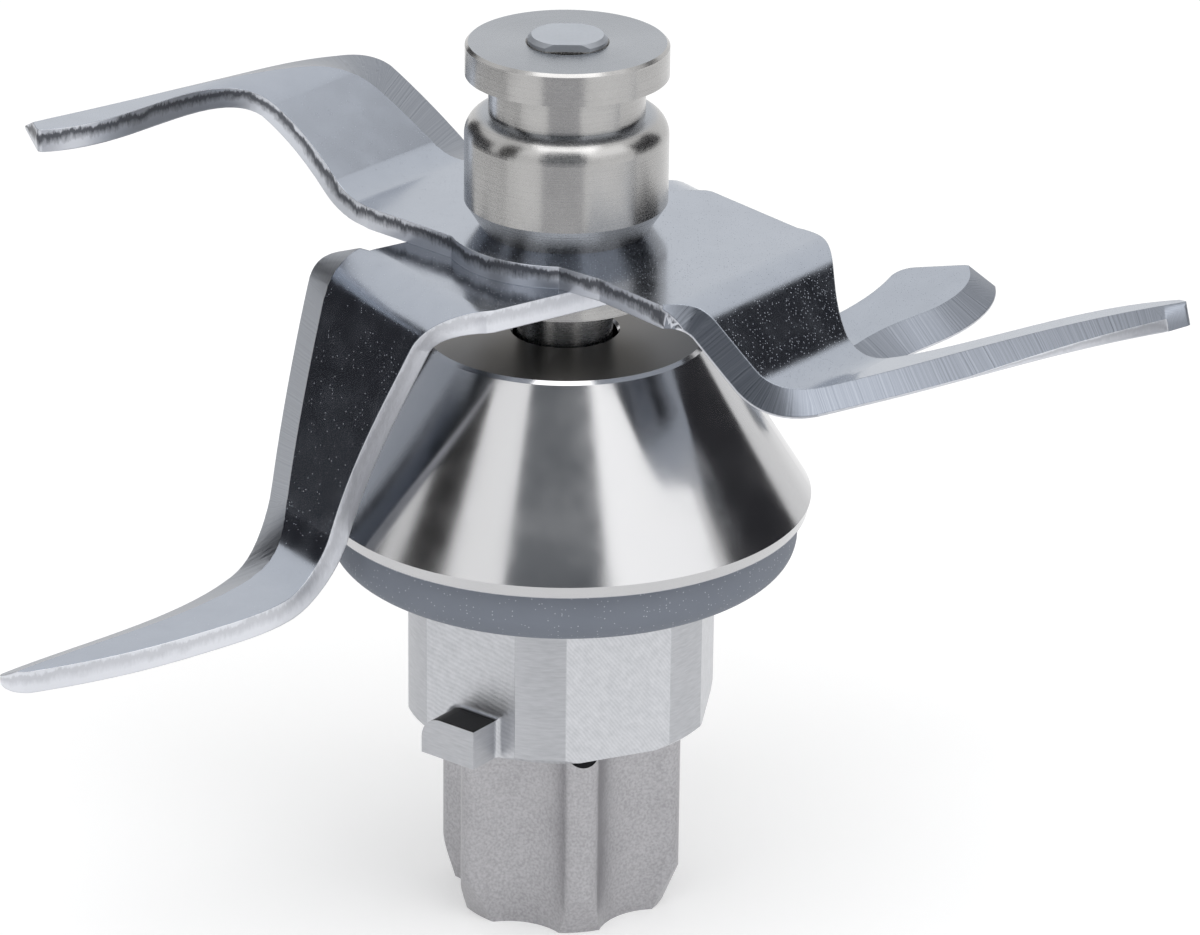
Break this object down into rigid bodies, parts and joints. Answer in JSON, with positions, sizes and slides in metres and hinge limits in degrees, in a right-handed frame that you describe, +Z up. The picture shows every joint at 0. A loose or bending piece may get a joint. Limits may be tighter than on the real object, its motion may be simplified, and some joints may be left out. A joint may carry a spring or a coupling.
{
  "type": "blender blade assembly",
  "caption": "Blender blade assembly: bent ground knives under a turned cap on a spindle, running in a conical steel housing with a gasket, bayonet lug and star drive coupling.",
  "frame": {"origin": "centre of the drive coupling's foot, where the assembly stands", "axes": "+Z up along the spindle, -Y towards the camera of the picture"},
  "size_m": [0.1148, 0.0704, 0.093],
  "materials": {
    "turned_steel": "turned and polished",
    "blade_steel": "rolled, ground along the edges",
    "silicone": "matte",
    "seal_rubber": "matte",
    "spring_steel": "satin",
    "bearing_steel": "ground",
    "pressed_steel": "pressed",
    "cage_plastic": "moulded",
    "spacer_steel": "turned",
    "cast_coupling": "cast and blasted",
    "screw_steel": "satin"
  },
  "bodies": {
    "housing": {"housing": "turned_steel", "gasket": "silicone", "shaft_seal": "seal_rubber", "seal_spring": "spring_steel", "retaining_ring": "spring_steel", "upper_bearing_outer_race": "bearing_steel", "upper_bearing_shields": "pressed_steel", "lower_bearing_outer_race": "bearing_steel", "lower_bearing_shields": "pressed_steel"},
    "rotor": {"spindle": "turned_steel", "upper_blade": "blade_steel", "lower_blade": "blade_steel", "cap": "turned_steel", "coupling": "cast_coupling", "coupling_screw": "screw_steel", "lock_washer": "spring_steel", "bearing_spacer": "spacer_steel", "upper_bearing_inner_race": "bearing_steel", "lower_bearing_inner_race": "bearing_steel"},
    "upper_cage": {"upper_bearing_cage": "cage_plastic", "upper_bearing_balls": "bearing_steel"},
    "lower_cage": {"lower_bearing_cage": "cage_plastic", "lower_bearing_balls": "bearing_steel"}
  },
  "joints": [
    {"name": "spindle_spin", "type": "hinge", "parent": "housing", "child": "rotor", "pos_m": [0, 0, 0.045], "axis": [0, 0, 1], "continuous": true},
    {"name": "upper_cage_spin", "type": "hinge", "parent": "housing", "child": "upper_cage", "pos_m": [0, 0, 0.0485], "axis": [0, 0, 1], "continuous": true},
    {"name": "lower_cage_spin", "type": "hinge", "parent": "housing", "child": "lower_cage", "pos_m": [0, 0, 0.0275], "axis": [0, 0, 1], "continuous": true}
  ],
  "couplings": [
    {"joint": "upper_cage_spin", "follows": "spindle_spin", "ratio": 0.369},
    {"joint": "lower_cage_spin", "follows": "spindle_spin", "ratio": 0.369}
  ]
}
